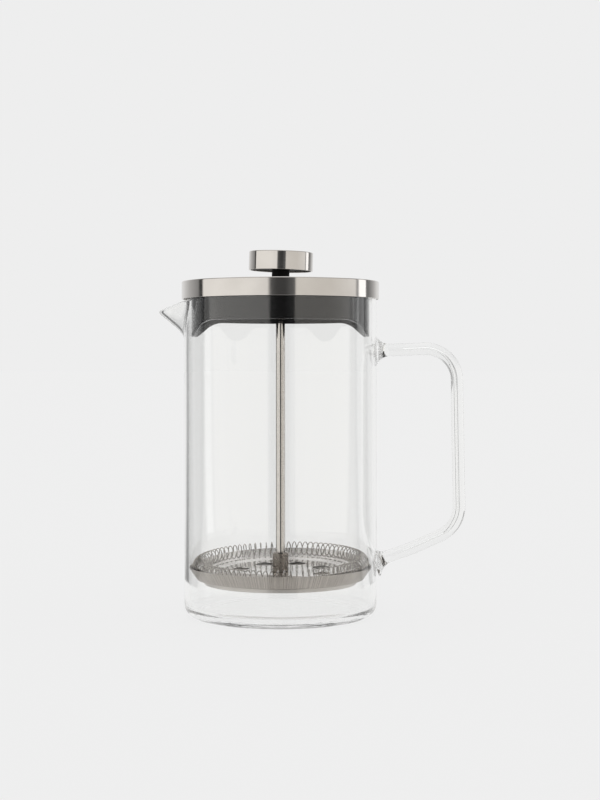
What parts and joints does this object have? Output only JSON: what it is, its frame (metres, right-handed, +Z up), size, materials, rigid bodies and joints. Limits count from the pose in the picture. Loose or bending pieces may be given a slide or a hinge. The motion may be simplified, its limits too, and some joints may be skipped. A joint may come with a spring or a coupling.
{
  "type": "french press",
  "caption": "Glass coffee press with a poured spout, a fused glass rod handle, a flat steel lid and a knobbed plunger with a coil-edged mesh filter.",
  "frame": {"origin": "centre of the beaker's flat underside", "axes": "+Z up along the beaker and the plunger rod, -X towards the spout, +X towards the handle"},
  "size_m": [0.1548, 0.0998, 0.1841],
  "materials": {
    "glass": "clear polished",
    "polished_steel": "mirror polished stainless steel",
    "filter_steel": "bright pressed stainless steel",
    "woven_steel": "fine woven stainless wire",
    "black_plastic": "gloss black moulded",
    "brass": "machined"
  },
  "bodies": {
    "beaker": {"glass_beaker": "glass", "glass_handle": "glass"},
    "lid_guide": {"guide_bush": "polished_steel", "guide_nut": "filter_steel"},
    "lid": {"lid_cap": "polished_steel", "lid_collar": "black_plastic"},
    "plunger": {"knob_shell": "polished_steel", "knob_core": "black_plastic", "knob_insert": "brass", "plunger_rod": "polished_steel", "rod_ferrule": "polished_steel", "spring_plate": "filter_steel", "coil_spring": "filter_steel", "mesh_screen": "woven_steel", "cross_plate": "filter_steel", "clamp_nut": "filter_steel"}
  },
  "joints": [
    {"name": "lid_lift", "type": "slide", "parent": "beaker", "child": "lid_guide", "axis": [0, 0, 1], "range_m": [0, 0.17]},
    {"name": "lid_turn", "type": "hinge", "parent": "lid_guide", "child": "lid", "pos_m": [0, 0, 0.165], "axis": [0, 0, 1], "continuous": true},
    {"name": "plunger_slide", "type": "slide", "parent": "lid_guide", "child": "plunger", "axis": [0, 0, 1], "range_m": [0, 0.109]}
  ]
}
